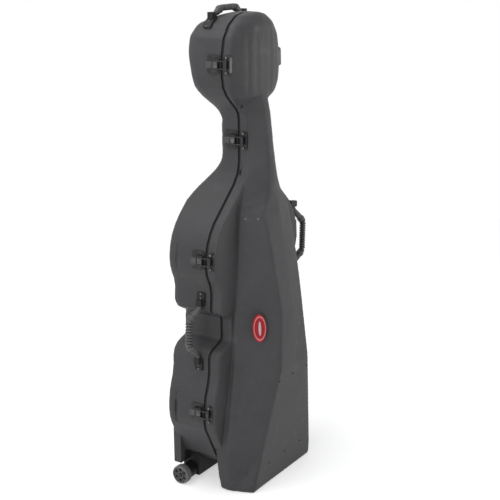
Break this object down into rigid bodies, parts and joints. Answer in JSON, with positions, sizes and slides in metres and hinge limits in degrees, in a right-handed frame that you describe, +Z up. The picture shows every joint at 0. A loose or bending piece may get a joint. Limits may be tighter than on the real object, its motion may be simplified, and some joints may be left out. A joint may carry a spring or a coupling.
{
  "type": "cello hard case",
  "caption": "Moulded hard case for a full-size cello, with a hinged lid, draw latches, swinging carrying handles and wheels, standing on its foot.",
  "frame": {"origin": "middle of the flat face under the lid's foot, on the floor", "axes": "+Z up, -Y out of the lid's front, +X to the hinge side"},
  "size_m": [0.5483, 0.3068, 1.4615],
  "materials": {
    "shell": "fine moulded grain",
    "lining": "plush over foam",
    "latch_metal": "black, satin",
    "axle_steel": "satin",
    "badge": "gloss",
    "wheel": "matte",
    "rubber": "matte",
    "trim": "satin"
  },
  "bodies": {
    "back": {"accessory_box": "trim", "axle": "axle_steel", "back_lining": "lining", "back_shell": "shell", "hinge_back_lower": "latch_metal", "hinge_back_upper": "latch_metal", "hinge_pin_lower": "latch_metal", "hinge_pin_upper": "latch_metal", "latch_base_head_left": "latch_metal", "latch_base_head_right": "latch_metal", "latch_base_lower": "latch_metal", "latch_base_neck": "latch_metal", "latch_base_upper": "latch_metal", "left_handle_bracket_a": "trim", "left_handle_bracket_b": "trim", "neck_cradle": "lining", "seal_strip": "rubber", "top_handle_bracket_a": "trim", "top_handle_bracket_b": "trim"},
    "lid": {"lid_shell": "shell", "lid_lining": "lining", "badge": "badge", "hinge_lid_upper": "latch_metal", "hinge_lid_lower": "latch_metal", "right_handle_bracket_a": "trim", "right_handle_bracket_b": "trim", "bow_pocket_left": "trim", "bow_pocket_right": "trim", "bow_post_left": "trim", "bow_post_right": "trim", "latch_keeper_head_left": "latch_metal", "latch_keeper_head_right": "latch_metal", "latch_keeper_neck": "latch_metal", "latch_keeper_upper": "latch_metal", "latch_keeper_lower": "latch_metal"},
    "lever_head_left": {"latch_lever_head_left": "latch_metal"},
    "loop_head_left": {"latch_loop_head_left": "latch_metal"},
    "lever_head_right": {"latch_lever_head_right": "latch_metal"},
    "loop_head_right": {"latch_loop_head_right": "latch_metal"},
    "lever_neck": {"latch_lever_neck": "latch_metal"},
    "loop_neck": {"latch_loop_neck": "latch_metal"},
    "lever_upper": {"latch_lever_upper": "latch_metal"},
    "loop_upper": {"latch_loop_upper": "latch_metal"},
    "lever_lower": {"latch_lever_lower": "latch_metal"},
    "loop_lower": {"latch_loop_lower": "latch_metal"},
    "left_handle_grip": {"left_handle_grip": "rubber"},
    "right_handle_grip": {"right_handle_grip": "rubber"},
    "top_handle_grip": {"top_handle_grip": "rubber"},
    "wheel_left": {"wheel_left": "wheel"},
    "wheel_right": {"wheel_right": "wheel"},
    "box_lid": {"accessory_box_lid": "trim"},
    "bow_clip_left": {"bow_clip_left": "trim"},
    "bow_clip_right": {"bow_clip_right": "trim"}
  },
  "joints": [
    {"name": "lid_hinge", "type": "hinge", "parent": "back", "child": "lid", "pos_m": [0.23599, 0.0665, 0.74132], "axis": [-0.0467, 0, 0.9989], "range_deg": [0, 95]},
    {"name": "latch_lever_head_left", "type": "hinge", "parent": "back", "child": "lever_head_left", "pos_m": [-0.14247, 0.0805, 1.30126], "axis": [0.0355, 0, 0.9994], "range_deg": [0, 110]},
    {"name": "latch_loop_head_left", "type": "hinge", "parent": "lever_head_left", "child": "loop_head_left", "pos_m": [-0.14647, 0.0935, 1.3014], "axis": [0.0355, 0, 0.9994], "range_deg": [-135, 0]},
    {"name": "latch_lever_head_right", "type": "hinge", "parent": "back", "child": "lever_head_right", "pos_m": [0.14247, 0.0805, 1.30126], "axis": [0.0355, 0, -0.9994], "range_deg": [0, 110]},
    {"name": "latch_loop_head_right", "type": "hinge", "parent": "lever_head_right", "child": "loop_head_right", "pos_m": [0.14647, 0.0935, 1.3014], "axis": [0.0355, 0, -0.9994], "range_deg": [-135, 0]},
    {"name": "latch_lever_neck", "type": "hinge", "parent": "back", "child": "lever_neck", "pos_m": [-0.059, 0.0805, 1.07198], "axis": [0, 0, 1], "range_deg": [0, 110]},
    {"name": "latch_loop_neck", "type": "hinge", "parent": "lever_neck", "child": "loop_neck", "pos_m": [-0.063, 0.0935, 1.07198], "axis": [0, 0, 1], "range_deg": [-135, 0]},
    {"name": "latch_lever_upper", "type": "hinge", "parent": "back", "child": "lever_upper", "pos_m": [-0.2379, 0.0805, 0.74346], "axis": [0.0521, 0, 0.9986], "range_deg": [0, 110]},
    {"name": "latch_loop_upper", "type": "hinge", "parent": "lever_upper", "child": "loop_upper", "pos_m": [-0.24189, 0.0935, 0.74367], "axis": [0.0521, 0, 0.9986], "range_deg": [-135, 0]},
    {"name": "latch_lever_lower", "type": "hinge", "parent": "back", "child": "lever_lower", "pos_m": [-0.2599, 0.0805, 0.27232], "axis": [0.0467, 0, 0.9989], "range_deg": [0, 110]},
    {"name": "latch_loop_lower", "type": "hinge", "parent": "lever_lower", "child": "loop_lower", "pos_m": [-0.26389, 0.0935, 0.2725], "axis": [0.0467, 0, 0.9989], "range_deg": [-135, 0]},
    {"name": "left_handle_swing", "type": "hinge", "parent": "back", "child": "left_handle_grip", "pos_m": [-0.22618, 0.1015, 0.51732], "axis": [0.0864, 0, 0.9963], "range_deg": [-20, 70]},
    {"name": "right_handle_swing", "type": "hinge", "parent": "lid", "child": "right_handle_grip", "pos_m": [0.22463, 0.0469, 0.71451], "axis": [0.0465, 0, 0.9989], "range_deg": [-60, 28]},
    {"name": "top_handle_swing", "type": "hinge", "parent": "back", "child": "top_handle_grip", "pos_m": [0, 0.1365, 1.436], "axis": [1, 0, 0], "range_deg": [-45, 10]},
    {"name": "wheel_left_spin", "type": "hinge", "parent": "back", "child": "wheel_left", "pos_m": [-0.2235, 0.1785, 0.03], "axis": [1, 0, 0], "continuous": true},
    {"name": "wheel_right_spin", "type": "hinge", "parent": "back", "child": "wheel_right", "pos_m": [0.2235, 0.1785, 0.03], "axis": [1, 0, 0], "continuous": true},
    {"name": "accessory_box_lid_hinge", "type": "hinge", "parent": "back", "child": "box_lid", "pos_m": [0.11, 0.1242, 1.293], "axis": [0, 0, 1], "range_deg": [0, 85]},
    {"name": "bow_clip_left_turn", "type": "hinge", "parent": "lid", "child": "bow_clip_left", "pos_m": [-0.026, -0.0457, 0.19034], "axis": [0, 1, 0], "range_deg": [-90, 90]},
    {"name": "bow_clip_right_turn", "type": "hinge", "parent": "lid", "child": "bow_clip_right", "pos_m": [0.026, -0.0457, 0.19034], "axis": [0, 1, 0], "range_deg": [-90, 90]}
  ],
  "couplings": [
    {"joint": "latch_loop_head_left", "follows": "latch_lever_head_left", "ratio": -1.2},
    {"joint": "latch_loop_head_right", "follows": "latch_lever_head_right", "ratio": -1.2},
    {"joint": "latch_loop_neck", "follows": "latch_lever_neck", "ratio": -1.2},
    {"joint": "latch_loop_upper", "follows": "latch_lever_upper", "ratio": -1.2},
    {"joint": "latch_loop_lower", "follows": "latch_lever_lower", "ratio": -1.2}
  ]
}
